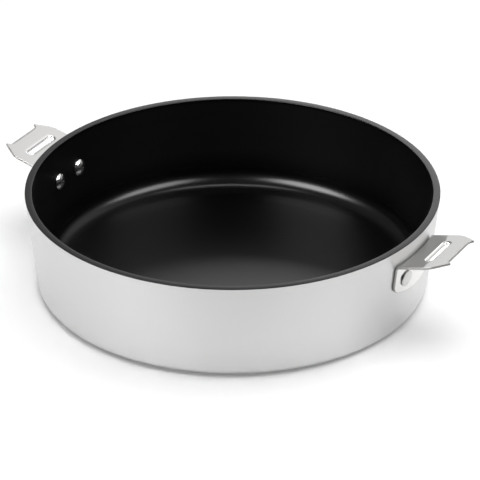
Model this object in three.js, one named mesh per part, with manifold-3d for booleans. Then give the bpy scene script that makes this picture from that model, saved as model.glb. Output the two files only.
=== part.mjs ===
// A low round saute pan: an aluminium shell with a non-stick lining, a stainless base disc, and two riveted
// sheet-metal grips. Millimetres, +Z up. The origin is on the table, under the middle of the base.
// The grips lie along +X and -X.
import * as THREE from "three";
import { mergeVertices } from "three/addons/utils/BufferGeometryUtils.js";
import Module from "manifold-3d";

// Shell
const RIM_DIAMETER = 280; // across the outside of the rim
const HEIGHT = 69.5; // table to the top of the rim
const WALL_LEAN = THREE.MathUtils.degToRad(5.9); // the wall opens upwards by this much
const WALL = 4.9; // wall with its lining, measured level across the rim
const FLOOR = 5; // table to the top of the lined floor
const BASE_CORNER = 6; // outside corner between wall and base
const FLOOR_CORNER = 12; // inside corner between wall and floor
const RIM_EDGE = 0.5; // rounding of both edges of the rim

// Non-stick lining, drawn thick enough to stand as its own skin
const COAT = 0.4;
const COAT_BOND = 0.05; // lining to aluminium

// Base disc, let into the underside
const DISC_LEDGE = 9.4; // flat aluminium left between the disc and the base corner
const DISC_THICKNESS = 1.2;
const DISC_PROUD = 0.4; // the pan stands on the disc, this far below the aluminium
const DISC_EDGE = 0.3; // bevel round the disc's lower edge
const DISC_CLEARANCE = 0.2;

// Grip: a bent sheet with a flange on the wall and a tab that slopes up from it
const SHEET = 1.5;
const GRIP_WIDTH = 51;
const TAB_DROP = 11.5; // rim down to where the tab's upper face would meet the wall
const TAB_SLOPE = THREE.MathUtils.degToRad(14.7);
const TAB_REACH = 30.4; // wall to the tab's straight outer edge
const TAPER_START = 21.3; // wall to where the tab's sides start to draw in
const TAPER_ROUND = 12;
const HORN_SPAN = 35; // across the tips of the two horns
const HORN_LENGTH = 2.8; // the horns stand this far beyond the outer edge
const HORN_HOLLOW = 2.4; // radius of the hollow between a horn and the outer edge
const HORN_TIP = 0.5; // rounding of a horn's point
const FLANGE_HEIGHT = 25.7; // tab root down to the flange's lowest point
const FLANGE_RISE = 6; // the flange's lower edge climbs this much from its middle to its sides
const FLANGE_CORNER = 7; // rounding between the lower edge and each side
const BEND_RADIUS = 1.6; // inside the bend, under the tab
const GRIP_GAP = 0.2; // flange to wall

// Slot in the tab, with edges that roll down into it
const SLOT_LENGTH = 28.8;
const SLOT_WIDTH = 3.8; // clear width
const SLOT_DISTANCE = 16; // wall to the slot's centre line
const SLOT_ROLL = 2; // width of the rolled edge

// Rivets, two through each grip
const RIVET_PITCH = 26;
const RIVET_DROP = 13.7; // tab root down to the rivets
const SHANK_DIAMETER = 5;
const HOLE_CLEARANCE = 0.15; // shank to hole, all round
const INNER_HEAD_DIAMETER = 11.6;
const INNER_HEAD_DOME = 2.6;
const OUTER_HEAD_DIAMETER = 11;
const OUTER_HEAD_DOME = 1.0;
const HEAD_EDGE = 0.6; // upright edge under each dome
const HEAD_SEAT = 0.25; // head to what it holds

// Facets
const TURN_STEPS = 80; // round the pan
const RIVET_STEPS = 20; // round a rivet
const CORNER_STEPS = 5; // along a rounded corner
const EDGE_STEPS = 2; // along a small rounded edge
const DOME_STEPS = 4; // from a head's edge to its middle
const FLANGE_STEPS = 14; // across the grip
const CROWN_STEPS = 8; // along each arc of the flange's lower edge
const ROLL_STEPS = 4; // down the slot's rolled edge
const SLOT_END_STEPS = 10; // round each end of the slot
const BEYOND = 4; // how far a cutting shape passes what it cuts

// Places that follow from the sizes above
const RIM_RADIUS = RIM_DIAMETER / 2;
const TAB_ROOT = HEIGHT - TAB_DROP;
const FLANGE_BOTTOM = TAB_ROOT - FLANGE_HEIGHT;
const RIVET_HEIGHT = TAB_ROOT - RIVET_DROP;
const wallRadius = (z) => RIM_RADIUS - (HEIGHT - z) * Math.tan(WALL_LEAN);
const ROOT_RADIUS = wallRadius(TAB_ROOT);
const BASE_RADIUS = wallRadius(DISC_PROUD) - BASE_CORNER * Math.tan(Math.PI / 4 - WALL_LEAN / 2);
const DISC_RADIUS = BASE_RADIUS - DISC_LEDGE - DISC_CLEARANCE;

const wasm = await Module();
wasm.setup();

// The closed solid of a geometry: shared vertices merged, and triangles that shrink to a line left out.
function solidOf(geometry) {
  const bare = geometry.clone();
  bare.deleteAttribute("normal");
  bare.deleteAttribute("uv");
  const merged = mergeVertices(bare, 1e-4);
  const corners = merged.index.array;
  const triVerts = [];
  for (let i = 0; i < corners.length; i += 3) {
    const [a, b, c] = corners.slice(i, i + 3);
    if (a !== b && b !== c && c !== a) triVerts.push(a, b, c);
  }
  return new wasm.Manifold(
    new wasm.Mesh({
      numProp: 3,
      vertProperties: merged.getAttribute("position").array,
      triVerts: new Uint32Array(triVerts),
    }),
  );
}

function geometryOf(solid) {
  const mesh = solid.getMesh();
  const geometry = new THREE.BufferGeometry();
  geometry.setAttribute("position", new THREE.BufferAttribute(mesh.vertProperties, 3));
  geometry.setIndex(new THREE.BufferAttribute(mesh.triVerts, 1));
  geometry.computeVertexNormals();
  return geometry;
}

// A polyline through corners [x, y, radius, steps], each corner with a radius turned into an arc.
function rounded(corners, closed) {
  const count = corners.length;
  return corners.flatMap(([x, y, radius, steps = CORNER_STEPS], i) => {
    const here = new THREE.Vector2(x, y);
    if (!radius || (!closed && (i === 0 || i === count - 1))) return [here];
    const before = new THREE.Vector2(...corners[(i + count - 1) % count]);
    const after = new THREE.Vector2(...corners[(i + 1) % count]);
    const back = before.sub(here).normalize();
    const ahead = after.sub(here).normalize();
    const half = Math.acos(THREE.MathUtils.clamp(back.dot(ahead), -1, 1)) / 2;
    const start = here.clone().addScaledVector(back, radius / Math.tan(half));
    const end = here.clone().addScaledVector(ahead, radius / Math.tan(half));
    const middle = back.clone().add(ahead).normalize();
    const centre = here.clone().addScaledVector(middle, radius / Math.sin(half));
    const from = start.clone().sub(centre);
    const turn = Math.sign(from.cross(end.clone().sub(centre))) * (Math.PI - 2 * half);
    return Array.from({ length: steps + 1 }, (_, k) =>
      from.clone().rotateAround(new THREE.Vector2(), (turn * k) / steps).add(centre),
    );
  });
}

// A profile of [radius, height] points turned about the Z axis.
function turned(profile, steps) {
  return new THREE.LatheGeometry(profile, steps).rotateX(Math.PI / 2);
}

// The inside of the shell at a depth below the lining's surface, from the middle of the floor to the rim.
function insideProfile(depth, top) {
  const inset = depth / Math.cos(WALL_LEAN) - WALL;
  const floor = FLOOR - depth;
  return rounded(
    [
      [0, floor],
      [wallRadius(floor) + inset, floor, FLOOR_CORNER + depth],
      [wallRadius(top) + inset, top],
    ],
    false,
  );
}

function shellGeometry() {
  const depth = COAT + COAT_BOND;
  const top = HEIGHT - depth;
  const pocket = DISC_RADIUS + DISC_CLEARANCE;
  const outside = rounded(
    [
      [0, DISC_THICKNESS],
      [pocket, DISC_THICKNESS],
      [pocket, DISC_PROUD],
      [wallRadius(DISC_PROUD), DISC_PROUD, BASE_CORNER],
      [wallRadius(top), top],
    ],
    false,
  );
  return turned([...outside, ...insideProfile(depth, top).reverse()], TURN_STEPS);
}

// The lining: from the floor up the wall and over the rim, and back along its own surface.
function liningGeometry() {
  const under = insideProfile(COAT, HEIGHT - COAT);
  const inner = insideProfile(0, HEIGHT).slice(0, -1);
  const over = rounded(
    [
      [wallRadius(HEIGHT - COAT), HEIGHT - COAT],
      [RIM_RADIUS, HEIGHT, RIM_EDGE / 2, EDGE_STEPS],
      [RIM_RADIUS - WALL, HEIGHT, RIM_EDGE, EDGE_STEPS],
      inner.at(-1).toArray(),
    ],
    false,
  ).slice(0, -1);
  return turned([...under, ...over, ...inner.reverse()], TURN_STEPS);
}

function discGeometry() {
  const profile = [
    [0, 0],
    [DISC_RADIUS - DISC_EDGE, 0],
    [DISC_RADIUS, DISC_EDGE],
    [DISC_RADIUS, DISC_THICKNESS],
    [0, DISC_THICKNESS],
  ].map((point) => new THREE.Vector2(...point));
  return turned(profile, TURN_STEPS);
}

// The grip's section in its middle plane: up the flange, round the bend and out along the tab, then back along
// the other face. x is the distance from the pan's axis, y the height.
function gripSection() {
  const up = new THREE.Vector2(Math.sin(WALL_LEAN), Math.cos(WALL_LEAN));
  const out = new THREE.Vector2(Math.cos(TAB_SLOPE), Math.sin(TAB_SLOPE));
  const low = FLANGE_BOTTOM - BEYOND;
  const tip = TAB_REACH + HORN_LENGTH + BEYOND;
  const face = (depth, bend) => {
    const gap = (GRIP_GAP + depth) / Math.cos(WALL_LEAN);
    const start = new THREE.Vector2(wallRadius(low) + gap, low);
    const root = new THREE.Vector2(ROOT_RADIUS, TAB_ROOT - depth / Math.cos(TAB_SLOPE));
    const along = root.clone().sub(start).cross(out) / up.cross(out);
    const knee = start.clone().addScaledVector(up, along);
    const end = new THREE.Vector2(ROOT_RADIUS + tip, root.y + tip * Math.tan(TAB_SLOPE));
    return rounded([start.toArray(), [...knee.toArray(), bend], end.toArray()], false);
  };
  return [...face(0, BEND_RADIUS + SHEET), ...face(SHEET, BEND_RADIUS).reverse()];
}

// The section carried across the grip. Away from the middle the flange and the bend step back along the slope
// of the tab, so the flange follows the round wall and the tab stays flat.
function gripSheet() {
  const section = gripSection();
  const count = section.length;
  const half = GRIP_WIDTH / 2 + BEYOND;
  const radius = wallRadius(RIVET_HEIGHT);
  const tabEnds = [count / 2 - 1, count / 2];
  const positions = [];
  const index = [];
  for (let j = 0; j <= FLANGE_STEPS; j++) {
    const y = half * ((2 * j) / FLANGE_STEPS - 1);
    const back = Math.sqrt(radius * radius - y * y) - radius;
    section.forEach((point, i) => {
      const shift = tabEnds.includes(i) ? 0 : back;
      positions.push(point.x + shift, y, point.y + shift * Math.tan(TAB_SLOPE));
    });
  }
  for (let j = 0; j < FLANGE_STEPS; j++) {
    for (let i = 0; i < count; i++) {
      const a = j * count + i;
      const b = j * count + ((i + 1) % count);
      index.push(a, b, b + count, a, b + count, a + count);
    }
  }
  const last = FLANGE_STEPS * count;
  for (const [a, b, c] of THREE.ShapeUtils.triangulateShape(section, [])) {
    index.push(a, b, c, last + c, last + b, last + a);
  }
  const geometry = new THREE.BufferGeometry();
  geometry.setAttribute("position", new THREE.Float32BufferAttribute(positions, 3));
  geometry.setIndex(index);
  return geometry;
}

// The grip seen from above: straight sides, then a taper to two horns with a straight edge between them.
function gripPlan() {
  const side = GRIP_WIDTH / 2;
  const tip = HORN_SPAN / 2;
  const edge = ROOT_RADIUS + TAB_REACH;
  const inner = ROOT_RADIUS - GRIP_WIDTH;
  const hollow = tip - 2 * HORN_TIP - HORN_HOLLOW / 2;
  const right = [
    [inner, side],
    [ROOT_RADIUS + TAPER_START, side, TAPER_ROUND],
    [edge + HORN_LENGTH, tip, HORN_TIP],
    [edge, hollow, HORN_HOLLOW],
  ];
  const left = right.map(([x, y, radius]) => [x, -y, radius]).reverse();
  const outline = new THREE.Shape(rounded([...left, ...right], true));
  const depth = HEIGHT + 2 * BEYOND;
  return new THREE.ExtrudeGeometry(outline, { depth, bevelEnabled: false }).translate(0, 0, -BEYOND);
}

// The grip seen from outside: the flange's lower edge is one wide arc, which a corner arc joins to each side.
function gripFront() {
  const side = GRIP_WIDTH / 2;
  const top = HEIGHT + BEYOND;
  const crown = (side ** 2 + FLANGE_RISE ** 2) / (2 * FLANGE_RISE);
  const lean = Math.asin((side - FLANGE_CORNER) / (crown - FLANGE_CORNER));
  const middle = FLANGE_BOTTOM + crown;
  const corner = middle - (crown - FLANGE_CORNER) * Math.cos(lean);
  const down = 1.5 * Math.PI;
  const outline = new THREE.Shape();
  outline.moveTo(-side, top);
  outline.lineTo(-side, corner);
  outline.absarc(FLANGE_CORNER - side, corner, FLANGE_CORNER, Math.PI, down - lean);
  outline.absarc(0, middle, crown, down - lean, down + lean);
  outline.absarc(side - FLANGE_CORNER, corner, FLANGE_CORNER, down + lean, 2 * Math.PI);
  outline.lineTo(side, top);
  const depth = ROOT_RADIUS + TAB_REACH + HORN_LENGTH + BEYOND;
  const upright = new THREE.Matrix4().makeBasis(
    new THREE.Vector3(0, 1, 0),
    new THREE.Vector3(0, 0, 1),
    new THREE.Vector3(1, 0, 0),
  );
  const options = { depth, curveSegments: CROWN_STEPS, bevelEnabled: false };
  return new THREE.ExtrudeGeometry(outline, options).applyMatrix4(upright);
}

// The slot as a stack of round-ended outlines: level with the sheet's upper face it is wider by the roll, and
// a quarter of an ellipse brings it in to its clear width at the lower face.
function gripSlot() {
  const run = (SLOT_LENGTH - SLOT_WIDTH) / 2;
  const layers = [
    [BEYOND, SLOT_ROLL],
    ...Array.from({ length: ROLL_STEPS + 1 }, (_, k) => {
      const angle = (k / ROLL_STEPS) * (Math.PI / 2);
      return [-SHEET * (1 - Math.cos(angle)), SLOT_ROLL * (1 - Math.sin(angle))];
    }),
    [-SHEET - BEYOND, 0],
  ];
  const ring = 2 * (SLOT_END_STEPS + 1);
  const positions = layers.flatMap(([z, grow]) => {
    const radius = SLOT_WIDTH / 2 + grow;
    return Array.from({ length: ring }, (_, k) => {
      const end = k <= SLOT_END_STEPS ? 1 : -1;
      const angle = ((k % (SLOT_END_STEPS + 1)) / SLOT_END_STEPS) * Math.PI * end;
      return [end * radius * Math.cos(angle), end * run + radius * Math.sin(angle), z];
    }).flat();
  });
  const index = [];
  for (let j = 0; j < layers.length - 1; j++) {
    for (let k = 0; k < ring; k++) {
      const a = j * ring + k;
      const b = j * ring + ((k + 1) % ring);
      index.push(a, a + ring, b + ring, a, b + ring, b);
    }
  }
  const last = (layers.length - 1) * ring;
  for (let k = 1; k < ring - 1; k++) {
    index.push(0, k, k + 1, last, last + k + 1, last + k);
  }
  const geometry = new THREE.BufferGeometry();
  geometry.setAttribute("position", new THREE.Float32BufferAttribute(positions, 3));
  geometry.setIndex(index);
  geometry.rotateY(-TAB_SLOPE);
  return geometry.translate(
    ROOT_RADIUS + SLOT_DISTANCE,
    0,
    TAB_ROOT + SLOT_DISTANCE * Math.tan(TAB_SLOPE),
  );
}

// A rivet turned about its own axis, which is then laid along X. x = 0 is the wall's outer face.
function rivetGeometry() {
  const shank = SHANK_DIAMETER / 2;
  const innerRadius = INNER_HEAD_DIAMETER / 2;
  const outerRadius = OUTER_HEAD_DIAMETER / 2;
  const wall = WALL * Math.cos(WALL_LEAN);
  const hollow = innerRadius ** 2 / (2 * (wallRadius(RIVET_HEIGHT) - WALL));
  const innerSeat = -(wall + hollow + HEAD_SEAT);
  const outerSeat = GRIP_GAP + SHEET + HEAD_SEAT;
  const dome = (radius, height, base) => {
    const sphere = (radius * radius + height * height) / (2 * height);
    return Array.from({ length: DOME_STEPS + 1 }, (_, k) => {
      const r = radius * (1 - k / DOME_STEPS);
      const rise = Math.sqrt(sphere * sphere - r * r) - (sphere - height);
      return new THREE.Vector2(r, base + Math.sign(base) * rise);
    });
  };
  const profile = [
    ...dome(innerRadius, INNER_HEAD_DOME, innerSeat - HEAD_EDGE).reverse(),
    new THREE.Vector2(innerRadius, innerSeat),
    new THREE.Vector2(shank, innerSeat),
    new THREE.Vector2(shank, outerSeat),
    new THREE.Vector2(outerRadius, outerSeat),
    ...dome(outerRadius, OUTER_HEAD_DOME, outerSeat + HEAD_EDGE),
  ];
  return turned(profile, RIVET_STEPS).rotateY(Math.PI / 2);
}

// The hole for a rivet, in the rivet's own frame, long enough for wall and flange.
function rivetHole() {
  const radius = SHANK_DIAMETER / 2 + HOLE_CLEARANCE;
  const length = 2 * (WALL + SHEET + BEYOND);
  return new THREE.CylinderGeometry(radius, radius, length, RIVET_STEPS).rotateZ(Math.PI / 2);
}

const aluminium = new THREE.MeshStandardMaterial({ color: 0xd2d3d4, roughness: 0.38, metalness: 1 });
const coating = new THREE.MeshStandardMaterial({ color: 0x151415, roughness: 0.42, metalness: 0 });
const baseSteel = new THREE.MeshStandardMaterial({ color: 0xa9a9a7, roughness: 0.4, metalness: 1 });
const gripSteel = new THREE.MeshStandardMaterial({ color: 0xc6c5c2, roughness: 0.25, metalness: 1 });
const rivetSteel = new THREE.MeshStandardMaterial({ color: 0xdcdcda, roughness: 0.2, metalness: 1 });

function namedMesh(name, geometry, material) {
  const mesh = new THREE.Mesh(geometry, material);
  mesh.name = name;
  return mesh;
}

// Where a rivet sits in the grip's frame: swung round to its place on the wall, square to the leaning wall.
function rivetSeat(side) {
  const radius = wallRadius(RIVET_HEIGHT);
  const swing = new THREE.Group();
  swing.rotation.z = Math.asin((side * RIVET_PITCH) / 2 / radius);
  const seat = new THREE.Group();
  seat.position.set(radius, 0, RIVET_HEIGHT);
  seat.rotation.y = WALL_LEAN;
  swing.add(seat);
  return { swing, seat };
}

const pan = new THREE.Group();
const hole = rivetHole();
const rivet = rivetGeometry();
const sides = [
  { name: "right", turn: 0, places: [["front", -1], ["back", 1]] },
  { name: "left", turn: Math.PI, places: [["front", 1], ["back", -1]] },
];

let gripSolid = solidOf(gripSheet())
  .intersect(solidOf(gripPlan()))
  .intersect(solidOf(gripFront()))
  .subtract(solidOf(gripSlot()));
const wallHoles = [];
for (const { name, turn, places } of sides) {
  const grip = new THREE.Group();
  grip.rotation.z = turn;
  for (const [place, side] of places) {
    const { swing, seat } = rivetSeat(side);
    seat.add(namedMesh(`${name}_${place}_rivet`, rivet, rivetSteel));
    grip.add(swing);
    grip.updateMatrixWorld(true);
    wallHoles.push(solidOf(hole.clone().applyMatrix4(seat.matrixWorld)));
  }
  grip.name = name;
  pan.add(grip);
}
gripSolid = gripSolid.subtract(wallHoles[0]).subtract(wallHoles[1]);
const gripGeometry = geometryOf(gripSolid);
for (const grip of [...pan.children]) {
  grip.add(namedMesh(`${grip.name}_bracket`, gripGeometry, gripSteel));
}

const drilled = (geometry) =>
  geometryOf(wallHoles.reduce((solid, cut) => solid.subtract(cut), solidOf(geometry)));
pan.add(namedMesh("pan_body", drilled(shellGeometry()), aluminium));
pan.add(namedMesh("nonstick_lining", drilled(liningGeometry()), coating));
pan.add(namedMesh("base_disc", discGeometry(), baseSteel));

export default pan;
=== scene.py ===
# %% [markdown]
# # A saute pan with two riveted grips
# The pan is a pressed aluminium shell with a black non-stick coat inside, a steel disc in its base and
# two stamped steel grips, each held by two rivets. Its sizes are settled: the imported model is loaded
# first as a fixed frame, in metres, and every surface below is fitted to it. The script then gives each
# piece a finer mesh and a finish, one piece to a step, and ends with the light and the camera.

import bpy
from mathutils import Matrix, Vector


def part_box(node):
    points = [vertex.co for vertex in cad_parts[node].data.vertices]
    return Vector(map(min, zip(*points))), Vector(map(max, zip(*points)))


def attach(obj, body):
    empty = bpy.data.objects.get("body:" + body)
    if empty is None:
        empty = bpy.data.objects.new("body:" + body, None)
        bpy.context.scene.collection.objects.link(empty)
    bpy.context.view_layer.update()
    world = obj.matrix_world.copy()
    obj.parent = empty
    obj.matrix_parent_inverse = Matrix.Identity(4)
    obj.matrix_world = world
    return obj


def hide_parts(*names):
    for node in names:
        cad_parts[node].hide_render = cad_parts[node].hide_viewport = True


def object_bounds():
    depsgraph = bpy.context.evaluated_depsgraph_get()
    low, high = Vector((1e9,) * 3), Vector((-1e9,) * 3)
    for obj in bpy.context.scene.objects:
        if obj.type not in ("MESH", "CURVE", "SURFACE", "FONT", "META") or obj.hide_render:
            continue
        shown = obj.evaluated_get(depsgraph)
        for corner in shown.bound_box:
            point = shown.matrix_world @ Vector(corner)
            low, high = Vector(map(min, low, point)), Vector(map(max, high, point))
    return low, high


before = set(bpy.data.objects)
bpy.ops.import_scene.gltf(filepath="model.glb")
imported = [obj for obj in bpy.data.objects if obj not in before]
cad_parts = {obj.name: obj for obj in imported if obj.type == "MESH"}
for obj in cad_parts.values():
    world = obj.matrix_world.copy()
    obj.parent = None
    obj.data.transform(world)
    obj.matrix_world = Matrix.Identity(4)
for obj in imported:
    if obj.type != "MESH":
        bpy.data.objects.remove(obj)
cad_low, cad_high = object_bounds()
print("nodes in the frame:", ", ".join(sorted(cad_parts)))

# %% [markdown]
# ## Units and the sizes that everything follows
# A maker thinks of a pan in millimetres, so all shapes below are worked out in millimetres and turned to
# metres once, when they become meshes. The rim and the height are read from the frame. The wall leans out
# a little towards the rim, as a drawn pan's does so that it leaves its die, and one straight line
# describes it.

import bpy
import numpy as np
from mathutils import Vector

MM = 0.001
HEIGHT = cad_high.z / MM
RIM_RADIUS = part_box("nonstick_lining")[1].y / MM
WALL_LEAN = np.radians(5.9)
WALL = 4.9
FLOOR = 5.0
COAT = 0.4
COAT_BOND = 0.05


def wall_radius(z):
    """Radius of the outside of the wall at height z: a straight line that reaches the rim at the top."""
    return RIM_RADIUS - (HEIGHT - z) * np.tan(WALL_LEAN)


print(f"rim {2 * RIM_RADIUS:.1f} mm across, {HEIGHT:.1f} mm high")
print(f"wall {wall_radius(0):.1f} mm from the axis at the table")

# %% [markdown]
# ## From arrays to a mesh
# Every piece below is a grid of points, or a few grids that share their edges. The helper here takes
# those arrays, makes one mesh object of them and ties it to the frame: it rides on the pan's one rigid
# body and stands in for the plain solid of the same piece. Faces are shaded smooth, and only edges that
# turn by more than a set angle stay crisp, which is how a small rounding reads on metal.

# %% Mesh helpers
SHARP_ANGLE = np.radians(40)


def quads_between(rows):
    """Four-cornered faces between neighbouring rows and columns of a grid of vertex numbers."""
    corners = rows[:-1, :-1], rows[:-1, 1:], rows[1:, 1:], rows[1:, :-1]
    return np.stack(corners, axis=-1).reshape(-1, 4)


def add_piece(name, points, quads, triangles, node, slot, material):
    """One smooth mesh object from points in millimetres, tied to the node that it stands for."""
    mesh = bpy.data.meshes.new(name)
    mesh.from_pydata((points * MM).tolist(), [], quads.tolist() + triangles.tolist())
    mesh.shade_smooth()
    mesh.set_sharp_from_angle(angle=SHARP_ANGLE)
    mesh.materials.append(material)
    thing = bpy.data.objects.new(name, mesh)
    bpy.context.scene.collection.objects.link(thing)
    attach(thing, "root")
    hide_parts(node)
    size = np.ptp(points, axis=0)
    print(f"{name}: {len(mesh.polygons)} faces, {size[0]:.1f} x {size[1]:.1f} x {size[2]:.1f} mm")
    return thing


# %% [markdown]
# ## Profiles and turning
# The shell, the coat, the base disc and the rivets are all turned shapes: a profile carried round an
# axis. A profile is written as a few corners, each with the radius that the tool leaves there, because
# that is how a drawing gives it. Carrying it round is one formula for the whole grid. Blender's Screw
# modifier could do the same, but the arrays keep the seam and the poles closed without any merging
# afterwards.

# %% Profile and turning functions
TURN_STEPS = 256
ARC_STEPS = 10


def rounded(corners):
    """A path through corners (x, y, radius). A corner with a radius becomes an arc that touches both of
    its sides: its centre lies on the line that halves the corner, and its points swing from one side to
    the other."""
    places = np.array([corner[:2] for corner in corners], float)
    path = [places[:1]]
    for before, here, after, corner in zip(places, places[1:], places[2:], corners[1:]):
        radius = corner[2]
        if not radius:
            path.append(here[None])
            continue
        back = (before - here) / np.linalg.norm(before - here)
        ahead = (after - here) / np.linalg.norm(after - here)
        half = np.arccos(np.clip(back @ ahead, -1, 1)) / 2
        middle = (back + ahead) / np.linalg.norm(back + ahead)
        centre = here + middle * radius / np.sin(half)
        first = here + back * radius / np.tan(half) - centre
        last = here + ahead * radius / np.tan(half) - centre
        share = np.linspace(0, 1, ARC_STEPS + 1)[:, None]
        sweep = np.pi - 2 * half
        swung = np.sin((1 - share) * sweep) * first + np.sin(share * sweep) * last
        path.append(centre + swung / np.sin(sweep))
    path.append(places[-1:])
    return np.concatenate(path)


def turned(profile, steps=TURN_STEPS):
    """A profile of (radius, height) points carried once round Z: at turn a, a point is
    (r cos a, r sin a, h). The profile starts and ends on the axis, so its end points are poles, each closed
    by a fan of triangles. It runs out along the lower side first, which makes the faces point outwards."""
    radius, height = profile[1:-1, 0, None], profile[1:-1, 1, None]
    turn = np.arange(steps) * 2 * np.pi / steps
    rings = np.stack(np.broadcast_arrays(radius * np.cos(turn), radius * np.sin(turn), height), axis=-1)
    poles = np.array([[0, 0, profile[0, 1]], [0, 0, profile[-1, 1]]])
    points = np.concatenate([rings.reshape(-1, 3), poles])
    numbers = np.arange(radius.size * steps).reshape(-1, steps)
    numbers = np.concatenate([numbers, numbers[:, :1]], axis=1)
    start, end = np.full(steps, len(points) - 2), np.full(steps, len(points) - 1)
    fans = [
        np.stack([start, numbers[0, 1:], numbers[0, :-1]], axis=1),
        np.stack([end, numbers[-1, :-1], numbers[-1, 1:]], axis=1),
    ]
    return points, quads_between(numbers), np.concatenate(fans)


# %% [markdown]
# ## Colours and nodes
# Colours are written as sRGB hex values, the way a colour picker shows them, and one function turns them
# to the linear numbers that the shader needs. A second small function adds any node with its settings and
# links, and a few more do what most finishes need, so that each finish below reads as a short recipe.
# Patterns are laid in millimetres of the object, and a pattern's share from 0 to 1 is then spread between
# two limits, such as two roughnesses.

# %% Material helpers


def linear(hex_colour):
    """An sRGB colour such as "#c0c0c0" as linear red, green, blue and an alpha of one."""
    parts = np.array([int(hex_colour[i : i + 2], 16) for i in (1, 3, 5)]) / 255
    return (*np.where(parts <= 0.04045, parts / 12.92, ((parts + 0.055) / 1.055) ** 2.4), 1.0)


def add_node(tree, kind, inputs=None, **settings):
    """Adds a node of a kind, sets its properties, and gives each named input a value or a link."""
    node = tree.nodes.new(kind)
    for name, value in settings.items():
        setattr(node, name, value)
    for name, value in (inputs or {}).items():
        if isinstance(value, bpy.types.NodeSocket):
            tree.links.new(value, node.inputs[name])
        else:
            node.inputs[name].default_value = value
    return node


def between(tree, share, limits):
    """A value that runs from the first limit to the second as a share runs from 0 to 1."""
    first, second = limits
    spread = {"Value": share, "To Min": first, "To Max": second}
    return add_node(tree, "ShaderNodeMapRange", spread).outputs["Result"]


def calculate(tree, operation, *values):
    """One calculation on numbers or links, such as the sum of two or the greater of them."""
    inputs = dict(enumerate(values))
    return add_node(tree, "ShaderNodeMath", inputs, operation=operation).outputs["Value"]


def noise(tree, place, lengths, detail):
    """Noise from 0 to 1 whose grain is so many millimetres long along X, Y and Z."""
    scale = tuple(1 / (length * MM) for length in lengths)
    drawn = add_node(tree, "ShaderNodeVectorMath", {0: place, 1: scale}, operation="MULTIPLY")
    grain = {"Vector": drawn.outputs["Vector"], "Scale": 1.0, "Detail": detail}
    return add_node(tree, "ShaderNodeTexNoise", grain).outputs["Fac"]


def new_finish(name):
    """An empty node material with its Principled shader."""
    material = bpy.data.materials.new(name)
    material.use_nodes = True
    return material, material.node_tree, material.node_tree.nodes["Principled BSDF"]


# %% [markdown]
# ## A pattern that goes round
# A pan is finished on a lathe: pads or a tool held against it leave fine lines that run round the axis,
# on the wall as level lines and on the floor or the base as rings. One coordinate describes both: the
# distance from the axis plus the height, which changes across the lines and stays the same along them.
# Noise that is fine in that coordinate and slow round the pan gives lines of uneven length, with no seam.

# %% Coordinate for lathe lines
LINE_DETAIL = 3.0


def lathe_lines(tree, spacing, length):
    """Noise drawn out round the Z axis: spacing is the distance between lines and length how far one runs,
    both in millimetres. The noise is read at (x / length, y / length, (radius + z) / spacing)."""
    place = add_node(tree, "ShaderNodeTexCoord").outputs["Object"]
    axes = add_node(tree, "ShaderNodeSeparateXYZ", {"Vector": place}).outputs
    flat = add_node(tree, "ShaderNodeCombineXYZ", {"X": axes["X"], "Y": axes["Y"]}).outputs["Vector"]
    radius = add_node(tree, "ShaderNodeVectorMath", {0: flat}, operation="LENGTH").outputs["Value"]
    across = calculate(tree, "ADD", radius, axes["Z"])
    joined = add_node(tree, "ShaderNodeCombineXYZ", {"X": axes["X"], "Y": axes["Y"], "Z": across})
    return noise(tree, joined.outputs["Vector"], (length, length, spacing), LINE_DETAIL)


# %% [markdown]
# ## Satin aluminium
# The outside is aluminium, polished with an abrasive pad while the pan turns. That leaves a silky, pale
# grey metal covered in level hairlines. Such lines scatter light across themselves much more than along
# them, so a lamp's reflection is drawn out into a tall, soft column. The anisotropy does that: its
# tangent runs round the pan, and the quarter turn sets the long way of the reflection upright. The lines
# also vary the roughness a little and tilt the surface by a hair, which breaks the columns up close to.

# %% Satin aluminium
BRUSH_SPACING = 0.9  # real hairlines are about 0.1 mm apart; drawn coarser so that they show
BRUSH_LENGTH = 60.0
BRUSH_DEPTH = 0.02
BRUSH_ROUGHNESS = (0.31, 0.41)  # between the lines and on them
BRUSH_ANISOTROPY = 0.7
QUARTER_TURN = 0.25  # as a share of a whole turn


def satin_aluminium():
    """Pale metal with soft, upright reflections and level hairlines."""
    material, tree, shader = new_finish("satin_brushed_aluminium")
    lines = lathe_lines(tree, BRUSH_SPACING, BRUSH_LENGTH)
    rough = between(tree, lines, BRUSH_ROUGHNESS)
    bump = {"Height": lines, "Distance": BRUSH_DEPTH * MM, "Strength": 0.35}
    bump = add_node(tree, "ShaderNodeBump", bump).outputs["Normal"]
    round_axis = add_node(tree, "ShaderNodeTangent", direction_type="RADIAL", axis="Z").outputs["Tangent"]
    shader.inputs["Base Color"].default_value = linear("#d4d4d4")
    shader.inputs["Metallic"].default_value = 1.0
    shader.inputs["Anisotropic"].default_value = BRUSH_ANISOTROPY
    shader.inputs["Anisotropic Rotation"].default_value = QUARTER_TURN
    tree.links.new(round_axis, shader.inputs["Tangent"])
    tree.links.new(rough, shader.inputs["Roughness"])
    tree.links.new(bump, shader.inputs["Normal"])
    return material


ALUMINIUM = satin_aluminium()
print("finish:", ALUMINIUM.name)

# %% [markdown]
# ## Pan shell
# The shell is one drawn piece: a flat bottom with a shallow pocket for the base disc, a small outer
# corner, a leaning wall and a flat rim. A wall drawn from a single straight line would be enough for its
# outline, but the inner corner under the coat is kept as well, so that the shell is a closed solid of
# even thickness.

# %% Pan shell
BASE_CORNER = 6.0
FLOOR_CORNER = 12.0
DISC_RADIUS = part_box("base_disc")[1].y / MM
DISC_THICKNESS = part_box("base_disc")[1].z / MM
DISC_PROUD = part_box("pan_body")[0].z / MM
DISC_CLEARANCE = 0.2


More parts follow.
